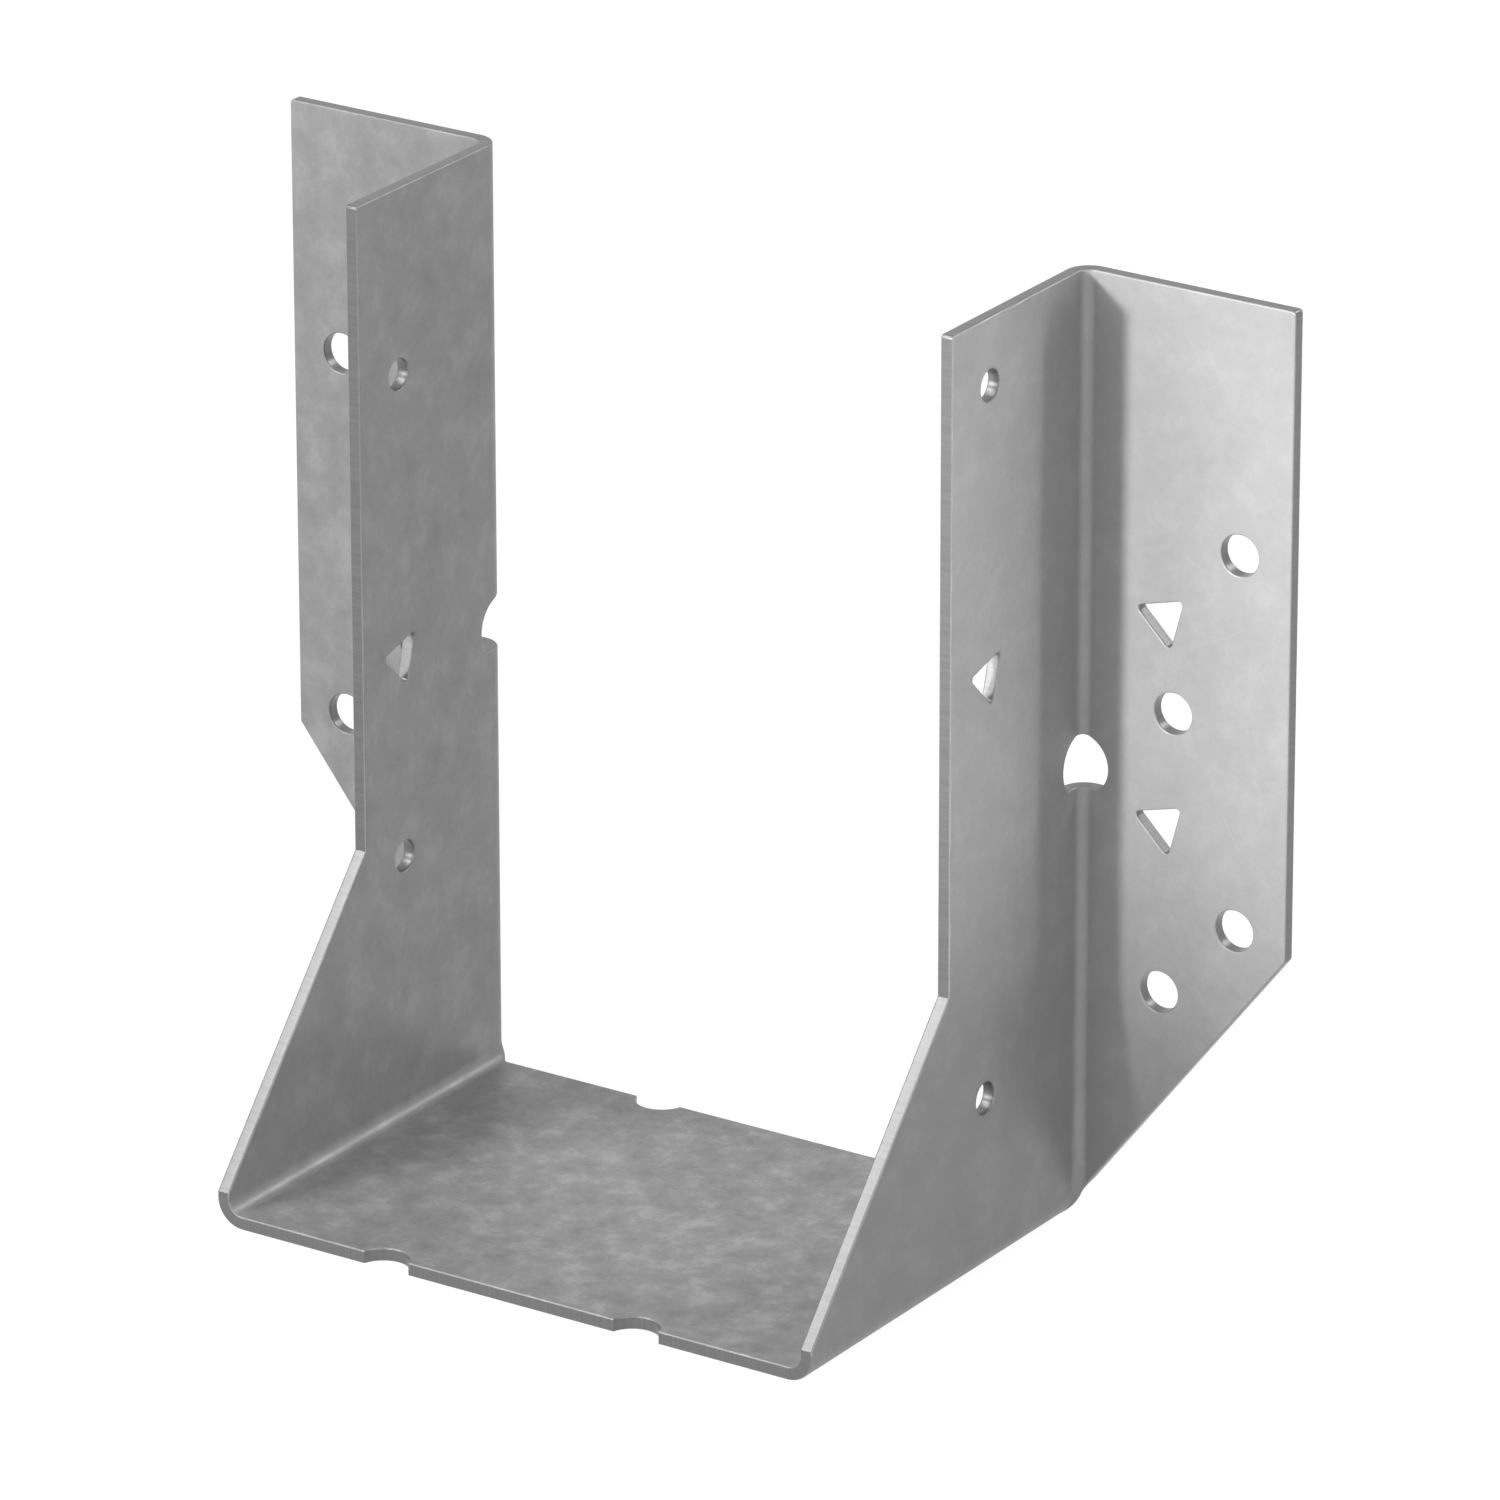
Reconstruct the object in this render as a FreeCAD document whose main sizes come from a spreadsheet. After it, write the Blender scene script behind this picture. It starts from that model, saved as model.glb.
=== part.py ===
import FreeCAD, Part
import Sketcher
import math
import os

# Face-mount joist hanger, folded from one blank of galvanised sheet.
#
# +X is to the right for someone who looks at the hanger from the joist's side, -Y points
# out along the joist and +Y into the header, +Z is up. The hanger stands on its seat: Z = 0
# is the seat's underside, and X = 0, Y = 0 is the middle of its footprint. The backs of the
# two nailing flanges lie in the header plane at +Y.
#
# The joist sits in the U of seat and side plates. Each plate's back edge folds outwards into
# a flange, and a D-shaped hole is punched across each fold. Everything but the joist-nail
# holes is the same on both sides: those are staggered, so that two nails never meet.

SIZES = (
    ("sheet_gauge", 1.9, "thickness of the galvanised sheet"),
    ("inside_width", 90.5, "clear width for the joist, between the side plates"),
    ("overall_height", 133.7, "underside of the seat to the top of plates and flanges"),
    ("overall_depth", 66.2, "header plane to the seat's front edge"),
    ("plate_depth", 33.7, "header plane to the upright front edge of a side plate"),
    ("kink_height", 42.7, "underside to the kink where the plate's edge starts to slant"),
    ("flange_width", 31.55, "flange's outer edge beyond the outside of the side plate"),
    ("flange_low", 43.9, "underside to the lower outer corner of a flange"),
    ("cut_foot", 1.6, "height at which the flange's slanted edge meets the plate's inside"),
    ("fold_radius", 1.6, "inside radius of the fold between plate and flange"),
    ("seat_radius", 2.0, "inside radius of the bend between plate and seat"),
    ("neutral_share", 0.44, "depth of the unstretched layer in a fold, as a share of the gauge"),
    ("header_hole", 5.65, "diameter of the round nail holes in the flanges"),
    ("outer_inset", 7.8, "flange's outer edge to the outer column of round holes"),
    ("middle_inset", 17.55, "flange's outer edge to the round hole at mid height"),
    ("inner_inset", 19.15, "flange's outer edge to the lowest round hole"),
    ("top_hole_drop", 34.75, "top edge down to the upper hole of the outer column"),
    ("outer_hole_height", 46.6, "underside to the lower hole of the outer column"),
    ("middle_hole_height", 75.0, "underside to the round hole at mid height"),
    ("inner_hole_height", 35.4, "underside to the lowest round hole"),
    ("tri_reach", 3.8, "middle of a triangular hole to its rounded corners"),
    ("tri_corner", 0.5, "corner radius of the triangular holes"),
    ("tri_turn", 15.0, "turn of the triangular holes in the blank, degrees"),
    ("tri_inset", 19.25, "flange's outer edge to the column of triangular holes"),
    ("upper_tri_height", 87.8, "underside to the upper triangular hole of a flange"),
    ("lower_tri_height", 58.9, "underside to the lower triangular hole of a flange"),
    ("joist_hole", 4.4, "diameter of the round nail holes in the side plates"),
    ("joist_inset", 9.0, "plate's front edge to the column of joist-nail holes"),
    ("right_top_drop", 9.25, "top edge down to the right plate's upper hole"),
    ("right_low_height", 25.5, "underside to the right plate's lower hole"),
    ("right_tri_height", 84.35, "underside to the right plate's triangular hole"),
    ("left_top_drop", 25.9, "top edge down to the left plate's upper hole"),
    ("left_low_height", 39.1, "underside to the left plate's lower hole"),
    ("left_tri_height", 67.6, "underside to the left plate's triangular hole"),
    ("d_radius", 4.4, "radius of the D-shaped hole, measured in the flat blank"),
    ("d_flat_share", 0.67, "middle of the D to its flat, as a share of its radius"),
    ("d_height", 64.9, "underside to the middle of the D-shaped hole"),
    ("notch_radius", 3.65, "radius of the round notches in the seat's edges"),
    ("notch_outset", 0.95, "middle of a notch beyond the edge that it is punched in"),
    ("front_notch_x", 19.8, "middle plane to each notch in the seat's front edge"),
    ("back_notch_x", 18.7, "middle plane to each notch in the seat's back edge"),
    ("overrun", 5.0, "how far cutting shapes run past the sheet's edges"),
)

WORKED = (
    ("half_inside", "=inside_width / 2", "inside face of the right plate"),
    ("half_outside", "=half_inside + sheet_gauge", "outside face of the right plate"),
    ("seat_half", "=half_inside - seat_radius", "end of the seat's flat"),
    ("seat_outer", "=seat_radius + sheet_gauge", "outside radius of the seat's bends"),
    ("fold_outer", "=fold_radius + sheet_gauge", "outside radius of the folds"),
    ("header_y", "=overall_depth / 2", "header plane"),
    ("front_y", "=-overall_depth / 2", "front edge of the seat"),
    ("plate_front_y", "=header_y - plate_depth", "upright front edge of the plates"),
    ("fold_y", "=header_y - fold_outer", "line where the plates run into the folds"),
    ("flange_front_y", "=header_y - sheet_gauge", "front face of the flanges"),
    ("flange_start", "=half_outside + fold_radius", "line where the fold runs into the flange"),
    ("flange_edge", "=half_outside + flange_width", "outer edge of the right flange"),
    ("cut_slope", "=(flange_low - cut_foot) / (flange_width + sheet_gauge)", "rise of its slanted edge"),
    ("cut_outer_x", "=flange_edge + overrun", "cutting shape of the slanted edge, outside"),
    ("cut_outer_z", "=flange_low + overrun * cut_slope", "its height there"),
    ("cut_inner_x", "=half_inside - sheet_gauge", "cutting shape of the slanted edge, inside"),
    ("cut_inner_z", "=cut_foot - sheet_gauge * cut_slope", "its height there"),
    ("above_top", "=overall_height + overrun", "past the top edges"),
    ("before_front", "=front_y - overrun", "past the seat's front edge"),
    ("outer_x", "=flange_edge - outer_inset", "outer column of round holes"),
    ("middle_x", "=flange_edge - middle_inset", "round hole at mid height"),
    ("inner_x", "=flange_edge - inner_inset", "lowest round hole"),
    ("tri_x", "=flange_edge - tri_inset", "column of triangular holes"),
    ("top_hole_z", "=overall_height - top_hole_drop", "upper hole of the outer column"),
    ("joist_y", "=plate_front_y + joist_inset", "column of joist-nail holes"),
    ("right_top_z", "=overall_height - right_top_drop", "right plate's upper hole"),
    ("left_top_z", "=overall_height - left_top_drop", "left plate's upper hole"),
    ("tri_arm", "=tri_reach - tri_corner", "middle of a triangle to its corner arcs' middles"),
    ("tri_out_a", "=tri_arm * cos(180 - tri_turn)", "first corner arc, outwards in the blank"),
    ("tri_up_a", "=tri_arm * sin(180 - tri_turn)", "first corner arc, upwards"),
    ("tri_out_b", "=tri_arm * cos(300 - tri_turn)", "second corner arc, outwards"),
    ("tri_up_b", "=tri_arm * sin(300 - tri_turn)", "second corner arc, upwards"),
    ("tri_out_c", "=tri_arm * cos(60 - tri_turn)", "third corner arc, outwards"),
    ("tri_up_c", "=tri_arm * sin(60 - tri_turn)", "third corner arc, upwards"),
    ("half_arc", "=(fold_radius + neutral_share * sheet_gauge) * pi / 4", "half the fold's flat length"),
    ("d_drop", "=d_radius * d_flat_share", "middle of the D down to its flat"),
    ("d_flat_z", "=d_height - d_drop", "height of the D's flat"),
    ("d_spring_z", "=d_height + sqrt(d_radius ^ 2 - half_arc ^ 2)", "its round where the fold ends"),
    ("d_crown_z", "=d_height + d_radius", "its round in the middle of the fold"),
    ("d_side", "=sqrt(d_radius ^ 2 - d_drop ^ 2)", "half the length of the D's flat"),
    ("d_plate_y", "=fold_y + half_arc", "middle of the D, counted on along the plate"),
    ("d_plate_end", "=d_plate_y - d_side", "end of its flat on the plate"),
    ("d_flange_x", "=flange_start - half_arc", "middle of the D, counted back along the flange"),
    ("d_flange_end", "=d_flange_x + d_side", "end of its flat on the flange"),
    ("d_inner_ring", "=-fold_radius / 2", "inside of the cut across the fold, from the bend's axis"),
    ("d_outer_ring", "=-(fold_outer + sheet_gauge)", "outside of the cut across the fold"),
    ("front_notch_y", "=front_y - notch_outset", "middle of the front notches"),
    ("back_notch_y", "=fold_y + notch_outset", "middle of the back notches"),
)

doc = FreeCAD.newDocument("joist_hanger")
sheet = doc.addObject("Spreadsheet::Sheet", "Sizes")
for row, (name, content, note) in enumerate(SIZES + WORKED, start=1):
    sheet.set("A%d" % row, name)
    sheet.set("B%d" % row, str(content))
    sheet.setAlias("B%d" % row, name)
    sheet.set("C%d" % row, note)
doc.recompute()

body = doc.addObject("PartDesign::Body", "Hanger")
body.Label = "joist_hanger"
doc.recompute()


def origin_plane(role):
    """The plane of the body's own origin with this role, such as XY_Plane."""
    return next(f for f in body.Origin.OriginFeatures if f.Role == role)


def number(name):
    """Value of a named size, with its sign turned by a leading minus."""
    return -float(sheet.get(name[1:])) if name[0] == "-" else float(sheet.get(name))


def rule(name):
    """The same size as an expression, for a constraint or a property."""
    return "-Sizes." + name[1:] if name[0] == "-" else "Sizes." + name


def add(*names):
    """A coordinate that is the sum of several named sizes."""
    return tuple(names)


def measure(place):
    return sum(number(n) for n in ((place,) if isinstance(place, str) else place))


def expression(place):
    return " + ".join("(" + rule(n) + ")" for n in ((place,) if isinstance(place, str) else place))


def sketch_on(role, name, offset=None):
    """Empty sketch on an origin plane, moved along the plane's normal by a named size."""
    sketch = body.newObject("Sketcher::SketchObject", name)
    sketch.AttachmentSupport = [(origin_plane(role), "")]
    sketch.MapMode = "FlatFace"
    if offset:
        sketch.setExpression(".AttachmentOffset.Base.z", rule(offset))
    return sketch


def bind(sketch, kind, *where, place):
    """Dimension in a sketch that follows the named sizes of its place."""
    index = sketch.addConstraint(Sketcher.Constraint(kind, *where, measure(place)))
    sketch.setExpression("Constraints[%d]" % index, expression(place))


def pin(sketch, shape, end, x, y):
    """Hold one point of a sketch at two named coordinates; None is the axis itself."""
    if x is None:
        sketch.addConstraint(Sketcher.Constraint("PointOnObject", shape, end, -2))
    else:
        bind(sketch, "DistanceX", -1, 1, shape, end, place=x)
    if y is None:
        sketch.addConstraint(Sketcher.Constraint("PointOnObject", shape, end, -1))
    else:
        bind(sketch, "DistanceY", -1, 1, shape, end, place=y)


def point(x, y):
    return FreeCAD.Vector(0 if x is None else measure(x), 0 if y is None else measure(y), 0)


def arc_between(start, end, middle):
    """Arc that runs anticlockwise from start to end about its middle."""
    first = math.atan2(start.y - middle.y, start.x - middle.x)
    last = math.atan2(end.y - middle.y, end.x - middle.x)
    circle = Part.Circle(middle, FreeCAD.Vector(0, 0, 1), (start - middle).Length)
    return Part.ArcOfCircle(circle, first, last if last > first else last + 2 * math.pi)


def draw_outline(sketch, corners, bends=None):
    """Closed outline through named corners.

    bends says which sides are arcs: {side: (centre x, centre y, radius, turn)}, where side i
    runs from corner i to the next one and turn is 1 for anticlockwise and -1 for clockwise.
    """
    bends = bends or {}
    count = len(corners)
    ends = []
    for i in range(count):
        here = point(*corners[i])
        there = point(*corners[(i + 1) % count])
        if i not in bends:
            shape = sketch.addGeometry(Part.LineSegment(here, there), False)
            ends.append((shape, 1, 2))
            continue
        x, y, radius, turn = bends[i]
        start, end = (here, there) if turn > 0 else (there, here)
        shape = sketch.addGeometry(arc_between(start, end, point(x, y)), False)
        ends.append((shape, 1, 2) if turn > 0 else (shape, 2, 1))
    for i in range(count):
        before, _, arrives = ends[i - 1]
        after, leaves, _ = ends[i]
        sketch.addConstraint(Sketcher.Constraint("Coincident", before, arrives, after, leaves))
        pin(sketch, after, leaves, *corners[i])
    for i, (x, y, radius, turn) in bends.items():
        bind(sketch, "Radius", ends[i][0], place=radius)


def draw_circle(sketch, x, y, radius=None, diameter=None):
    size = measure(radius) if radius else measure(diameter) / 2
    shape = sketch.addGeometry(Part.Circle(point(x, y), FreeCAD.Vector(0, 0, 1), size), False)
    pin(sketch, shape, 3, x, y)
    if radius:
        bind(sketch, "Radius", shape, place=radius)
    else:
        bind(sketch, "Diameter", shape, place=diameter)


def draw_triangle(sketch, x, y):
    """Triangle with rounded corners: three straight sides, each tangent to two corner arcs."""
    turn = math.radians(number("tri_turn"))
    radius = number("tri_corner")
    middles = [(add(x, "tri_out_" + c), add(y, "tri_up_" + c)) for c in "abc"]
    arcs = []
    for i, middle in enumerate(middles):
        facing = math.pi - turn + i * 2 * math.pi / 3
        circle = Part.Circle(point(*middle), FreeCAD.Vector(0, 0, 1), radius)
        arc = Part.ArcOfCircle(circle, facing - math.pi / 3, facing + math.pi / 3)
        arcs.append(sketch.addGeometry(arc, False))
    for i in range(3):
        leaving = sketch.getPoint(arcs[i], 2)
        reaching = sketch.getPoint(arcs[(i + 1) % 3], 1)
        side = sketch.addGeometry(Part.LineSegment(leaving, reaching), False)
        sketch.addConstraint(Sketcher.Constraint("Tangent", arcs[i], 2, side, 1))
        sketch.addConstraint(Sketcher.Constraint("Tangent", side, 2, arcs[(i + 1) % 3], 1))
    for arc, middle in zip(arcs, middles):
        pin(sketch, arc, 3, *middle)
        bind(sketch, "Radius", arc, place="tri_corner")


def settle(feature, grows):
    """Recompute, and stop if the feature failed or changed the volume the wrong way."""
    before = settle.volume
    doc.recompute()
    after = feature.Shape.Volume
    if (after > before) != grows or abs(after - before) < 1.0:
        raise RuntimeError("%s changed the volume from %.1f to %.1f" % (feature.Name, before, after))
    settle.volume = after
    return feature


settle.volume = 0.0


def pad(name, sketch, length, reverse=False):
    feature = body.newObject("PartDesign::Pad", name)
    feature.Profile = sketch
    feature.Reversed = reverse
    feature.setExpression("Length", rule(length))
    return settle(feature, grows=True)


def cut_through(name, sketch, reverse=False, both_ways=False):
    """Pocket through all; without reverse it runs against the sketch's normal."""
    feature = body.newObject("PartDesign::Pocket", name)
    feature.Profile = sketch
    feature.Type = "ThroughAll"
    feature.Reversed = reverse
    feature.Midplane = both_ways
    return settle(feature, grows=False)


# The stirrup: side plates, seat and the two bends between them, as one U of sheet that runs
# from the fold line forward to the seat's front edge.
stirrup_profile = sketch_on("XZ_Plane", "StirrupProfile", offset="-fold_y")
draw_outline(stirrup_profile, [
    ("-half_outside", "overall_height"),
    ("-half_outside", "seat_outer"),
    ("-seat_half", None),
    ("seat_half", None),
    ("half_outside", "seat_outer"),
    ("half_outside", "overall_height"),
    ("half_inside", "overall_height"),
    ("half_inside", "seat_outer"),
    ("seat_half", "sheet_gauge"),
    ("-seat_half", "sheet_gauge"),
    ("-half_inside", "seat_outer"),
    ("-half_inside", "overall_height"),
], bends={
    1: ("-seat_half", "seat_outer", "seat_outer", 1),
    3: ("seat_half", "seat_outer", "seat_outer", 1),
    7: ("seat_half", "seat_outer", "seat_radius", -1),
    9: ("-seat_half", "seat_outer", "seat_radius", -1),
})
stirrup = body.newObject("PartDesign::Pad", "Stirrup")
stirrup.Profile = stirrup_profile
stirrup.setExpression("Length", "Sizes.fold_y - Sizes.front_y")
settle(stirrup, grows=True)

# The plates' front edges: upright down to the kink, then slanting out to the seat's front.
edge_profile = sketch_on("YZ_Plane", "PlateEdgeProfile")
draw_outline(edge_profile, [
    ("plate_front_y", "above_top"),
    ("before_front", "above_top"),
    ("before_front", "seat_outer"),
    ("front_y", "seat_outer"),
    ("plate_front_y", "kink_height"),
])
cut_through("PlateEdge", edge_profile, both_ways=True)

# The right fold and flange: a quarter turn of sheet about an upright axis, then the flat
# flange that bears on the header.
flange_profile = sketch_on("XY_Plane", "FlangeProfile")
draw_outline(flange_profile, [
    ("half_inside", "fold_y"),
    ("half_outside", "fold_y"),
    ("flange_start", "flange_front_y"),
    ("flange_edge", "flange_front_y"),
    ("flange_edge", "header_y"),
    ("flange_start", "header_y"),
], bends={
    1: ("flange_start", "fold_y", "fold_radius", -1),
    5: ("flange_start", "fold_y", "fold_outer", 1),
})
flange = pad("Flange", flange_profile, "overall_height")

# The flange's slanted lower edge. The same straight cut carries on across the fold and ends
# in the seat's bend, which is what gives the hanger its pointed back corners.
slant_profile = sketch_on("XZ_Plane", "FlangeSlantProfile", offset="-fold_y")
draw_outline(slant_profile, [
    ("cut_inner_x", "-overrun"),
    ("cut_outer_x", "-overrun"),
    ("cut_outer_x", "cut_outer_z"),
    ("cut_inner_x", "cut_inner_z"),
])
slant = cut_through("FlangeSlant", slant_profile)

# Nail holes of the flange: four round ones for full nailing, and two triangular ones that
# are filled as well when the hanger carries its highest load.
round_profile = sketch_on("XZ_Plane", "HeaderRoundProfile")
for x, z in (("outer_x", "top_hole_z"), ("outer_x", "outer_hole_height"),
             ("middle_x", "middle_hole_height"), ("inner_x", "inner_hole_height")):
    draw_circle(round_profile, x, z, diameter="header_hole")
header_round = cut_through("HeaderRoundHoles", round_profile)

tri_profile = sketch_on("XZ_Plane", "HeaderTriangleProfile")
draw_triangle(tri_profile, "tri_x", "upper_tri_height")
draw_triangle(tri_profile, "tri_x", "lower_tri_height")
header_tri = cut_through("HeaderTriangles", tri_profile)

# The D-shaped hole is round and flat-bottomed in the blank and is then folded with it. Its
# two ends are plain cuts through the flats, as far as the lines where the fold starts.
d_plate_profile = sketch_on("YZ_Plane", "DHolePlateProfile")
draw_outline(d_plate_profile, [
    ("fold_y", "d_spring_z"),
    ("d_plate_end", "d_flat_z"),
    ("fold_y", "d_flat_z"),
], bends={0: ("d_plate_y", "d_height", "d_radius", 1)})
d_plate = cut_through("DHoleOnPlate", d_plate_profile, reverse=True)

d_flange_profile = sketch_on("XZ_Plane", "DHoleFlangeProfile")
draw_outline(d_flange_profile, [
    ("flange_start", "d_flat_z"),
    ("d_flange_end", "d_flat_z"),
    ("flange_start", "d_spring_z"),
], bends={1: ("d_flange_x", "d_height", "d_radius", 1)})
d_flange = cut_through("DHoleOnFlange", d_flange_profile)

# Between them the cut turns with the sheet: a loft through three upright sections that fan
# out from the fold's axis, so that its walls stay square to the bent sheet. The top of the
# D rises to its crown in the middle of the fold.
d_sections = []
for angle, top in ((0, "d_spring_z"), (45, "d_crown_z"), (90, "d_spring_z")):
    section = sketch_on("XZ_Plane", "DHoleSection%d" % angle, offset="-fold_y")
    turned = FreeCAD.Rotation(FreeCAD.Vector(0, 1, 0), -angle)
    section.AttachmentOffset = FreeCAD.Placement(FreeCAD.Vector(0, 0, 0), turned)
    section.setExpression(".AttachmentOffset.Base.x", "Sizes.flange_start")
    draw_outline(section, [
        ("d_outer_ring", "d_flat_z"),
        ("d_inner_ring", "d_flat_z"),
        ("d_inner_ring", top),
        ("d_outer_ring", top),
    ])
    d_sections.append(section)
d_fold = body.newObject("PartDesign::SubtractiveLoft", "DHoleAcrossFold")
d_fold.Profile = d_sections[0]
d_fold.Sections = d_sections[1:]
settle(d_fold, grows=False)

# Round notches in the seat's front and back edges.
notch_profile = sketch_on("XY_Plane", "SeatNotchProfile")
draw_circle(notch_profile, "front_notch_x", "front_notch_y", radius="notch_radius")
draw_circle(notch_profile, "back_notch_x", "back_notch_y", radius="notch_radius")
notches = cut_through("SeatNotches", notch_profile, reverse=True)

# The left side: all of the above again, mirrored in the hanger's middle plane.
mirror = body.newObject("PartDesign::Mirrored", "LeftSide")
mirror.Originals = [flange, slant, header_round, header_tri, d_plate, d_flange, d_fold, notches]
mirror.MirrorPlane = (origin_plane("YZ_Plane"), [""])
body.Tip = mirror
settle(mirror, grows=True)

# Joist-nail holes, staggered: each plate has two round ones and a triangular one, at heights
# of its own, and each set is punched outwards from the middle plane through its own plate.
for side, reverse in (("right", True), ("left", False)):
    joist_profile = sketch_on("YZ_Plane", side.capitalize() + "JoistHoleProfile")
    draw_circle(joist_profile, "joist_y", side + "_top_z", diameter="joist_hole")
    draw_circle(joist_profile, "joist_y", side + "_low_height", diameter="joist_hole")
    draw_triangle(joist_profile, "joist_y", side + "_tri_height")
    cut_through(side.capitalize() + "JoistHoles", joist_profile, reverse=reverse)

doc.recompute()
for item in doc.Objects:
    if "Invalid" in item.State or "Error" in item.State:
        raise RuntimeError(item.Name + " did not compute")
for item in doc.findObjects("Sketcher::SketchObject"):
    if not item.FullyConstrained:
        raise RuntimeError(item.Name + " is not fully constrained")
if body.Shape.isNull() or not body.Shape.isValid() or len(body.Shape.Solids) != 1:
    raise RuntimeError("the hanger is not one valid solid")

box = body.Shape.BoundBox
print("joist_hanger %.2f x %.2f x %.2f mm, %.1f mm3" % (box.XLength, box.YLength, box.ZLength,
                                                        body.Shape.Volume))
os.makedirs("parts", exist_ok=True)
body.Shape.exportStep("parts/" + body.Label + ".step")
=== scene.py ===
# %% [markdown]
# # A joist hanger, dressed from a flat blank
#
# A joist hanger is folded from one piece of galvanised sheet. The factory punches a flat
# blank and then bends it, and this lesson does the same: it draws the blank, gives the cut
# edges their small rounding, and folds the result with a formula. Because every point keeps
# its place in the blank, the zinc's pattern runs on over the folds, as it does on the real
# part.

import math

import bmesh
import bpy
import numpy as np
from mathutils import Matrix, Vector
from mathutils.geometry import delaunay_2d_cdt


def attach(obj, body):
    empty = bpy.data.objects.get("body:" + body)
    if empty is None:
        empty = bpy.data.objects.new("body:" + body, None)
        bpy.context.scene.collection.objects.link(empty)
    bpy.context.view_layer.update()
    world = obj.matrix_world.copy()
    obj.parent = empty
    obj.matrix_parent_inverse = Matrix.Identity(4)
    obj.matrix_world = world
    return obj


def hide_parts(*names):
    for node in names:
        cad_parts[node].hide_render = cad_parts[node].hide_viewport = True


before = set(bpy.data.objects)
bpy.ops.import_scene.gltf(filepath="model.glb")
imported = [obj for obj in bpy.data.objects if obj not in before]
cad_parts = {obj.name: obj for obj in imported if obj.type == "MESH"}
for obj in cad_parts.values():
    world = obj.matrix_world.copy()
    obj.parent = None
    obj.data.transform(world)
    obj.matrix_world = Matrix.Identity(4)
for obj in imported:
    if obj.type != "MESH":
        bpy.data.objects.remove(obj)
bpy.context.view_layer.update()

# %% [markdown]
# ## The sizes
#
# These are the hanger's own sizes in millimetres. Depths are counted along Y, from the
# middle of the footprint, and heights from the seat's underside. A fold stretches the sheet
# on its outside and squeezes it on its inside. The layer in between keeps its length, and
# that layer's radius gives the length of blank that each fold uses up.

# %% Sizes of the hanger
GAUGE = 1.9             # thickness of the sheet
HALF_INSIDE = 45.25     # from the middle plane to the inner face of a side plate
HEIGHT = 133.7
HEADER_Y = 33.1         # the flanges' back face, which lies against the header
FRONT_Y = -33.1         # the seat's front edge
PLATE_FRONT_Y = -0.6    # the upright front edge of a side plate
SLANT_FOOT_Z = 4.8      # the lower end of the slanted edge below it
KINK_Z = 42.7           # the upper end of the slanted edge
FLANGE_EDGE = 78.7      # the flange's outer edge
FLANGE_LOW_Z = 43.9     # the lower end of that edge
CUT_SLOPE = 1.29        # how far the slanted cut falls for each millimetre inwards
FOLD_R = 1.6            # inner radius of a fold
SEAT_R = 2.0            # inner radius of a seat bend
NEUTRAL = 0.44 * GAUGE  # from a bend's inner face to the layer that keeps its length

SEAT_HALF = HALF_INSIDE - SEAT_R
SEAT_OUTER = SEAT_R + GAUGE
FOLD_Y = HEADER_Y - FOLD_R - GAUGE
FLANGE_START = HALF_INSIDE + GAUGE + FOLD_R
SEAT_ARC = (SEAT_R + NEUTRAL) * math.pi / 2
FOLD_ARC = (FOLD_R + NEUTRAL) * math.pi / 2
PLATE_P = SEAT_HALF + SEAT_ARC
print("blank used up by a seat bend %.2f mm, by a fold %.2f mm" % (SEAT_ARC, FOLD_ARC))

# %% [markdown]
# ## Places in the blank
#
# The blank has two coordinates. `p` runs from the middle of the seat outwards and on up the
# side plate, and `q` runs from front to back and on into the flange. So a height on a plate
# becomes a `p`, and a distance along a flange becomes a `q`.

# %% From heights and widths to the blank
def up(z):
    """p of a height on a plate or flange: the seat's half, its bend, and the rise beyond it."""
    return PLATE_P + (z - SEAT_OUTER)


def out(x):
    """q of a distance from the middle plane on a flange: the fold line, the fold, the rest."""
    return FOLD_Y + FOLD_ARC + (x - FLANGE_START)


print("blank: %.1f by %.1f mm" % (2 * up(HEIGHT), out(FLANGE_EDGE) - FRONT_Y))

# %% [markdown]
# ## Arcs and rounded corners
#
# The die that cuts the blank has a small radius in every corner, and its round punches are
# true circles. Both come from one helper that puts evenly spaced points on an arc. A Bevel
# modifier could round the corners too, but it can't tell a corner of the outline from the
# points of a round hole.

# %% Arcs and rounded corners
def arc(centre, radius, start, end, steps):
    """Points on a circle: centre plus radius times (cos, sin) of evenly spaced angles."""
    angle = np.radians(np.linspace(start, end, steps))
    return np.c_[centre[0] + radius * np.cos(angle), centre[1] + radius * np.sin(angle)]


def soften(corners, radius, steps):
    """Round each corner of an outline.

    The arc touches both sides at the distance radius / tan(half the corner's angle), and
    its middle lies on the corner's bisector.
    """
    corners = np.asarray(corners, float)
    before = np.roll(corners, 1, axis=0) - corners
    after = np.roll(corners, -1, axis=0) - corners
    before /= np.linalg.norm(before, axis=1)[:, None]
    after /= np.linalg.norm(after, axis=1)[:, None]
    half = np.arccos(np.clip((before * after).sum(1), -1, 1)) / 2
    bisector = before + after
    bisector /= np.linalg.norm(bisector, axis=1)[:, None]
    middle = corners + bisector * (radius / np.sin(half))[:, None]
    first = corners + before * (radius / np.tan(half))[:, None] - middle
    last = corners + after * (radius / np.tan(half))[:, None] - middle
    a = np.arctan2(first[:, 1], first[:, 0])
    turn = (np.arctan2(last[:, 1], last[:, 0]) - a + np.pi) % (2 * np.pi) - np.pi
    angle = a[:, None] + turn[:, None] * np.linspace(0, 1, steps)[None, :]
    points = middle[:, None, :] + radius * np.stack([np.cos(angle), np.sin(angle)], axis=2)
    return points.reshape(-1, 2)


def round_corner(before, corner, after, radius, steps=5):
    """Only the arc at the middle one of three points, which is the second of the three arcs."""
    return soften([before, corner, after], radius, steps)[steps:2 * steps]


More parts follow.
